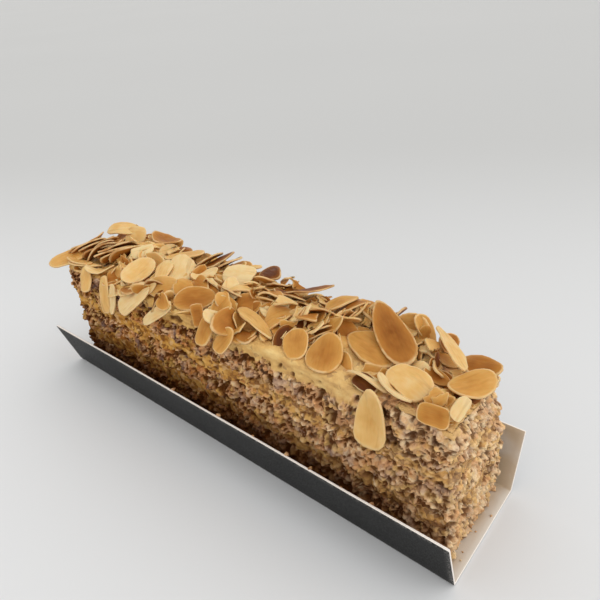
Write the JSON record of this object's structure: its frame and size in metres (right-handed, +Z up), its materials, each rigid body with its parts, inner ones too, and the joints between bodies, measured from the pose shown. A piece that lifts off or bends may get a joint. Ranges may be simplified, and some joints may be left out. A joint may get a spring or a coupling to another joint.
{
  "type": "praline cake",
  "caption": "Individual praline cake bar: layered nut sponge and praline cream under toasted almond flakes, lying in the folded card it is sold on.",
  "frame": {"origin": "middle of the flat underside of the card that the cake lies in", "axes": "+X along the bar towards the end that the picture shows, -Y towards the long side that the picture shows, +Z up"},
  "size_m": [0.15, 0.041, 0.0476],
  "materials": {
    "card": "matt dark grey print outside, bare white inside and on the cut edges",
    "sponge": "dry, open crumb of a nut sponge, with darker ground nuts",
    "cream": "soft satin praline butter cream, cut through",
    "almonds": "toasted almond flakes, pale gold with browner middles, slightly oily"
  },
  "bodies": {
    "root": {"card_tray": "card", "sponge_layer_1": "sponge", "cream_layer_1": "cream", "sponge_layer_2": "sponge", "cream_layer_2": "cream", "sponge_layer_3": "sponge", "cream_layer_3": "cream", "sponge_layer_4": "sponge", "almond_topping": "almonds"}
  },
  "joints": []
}
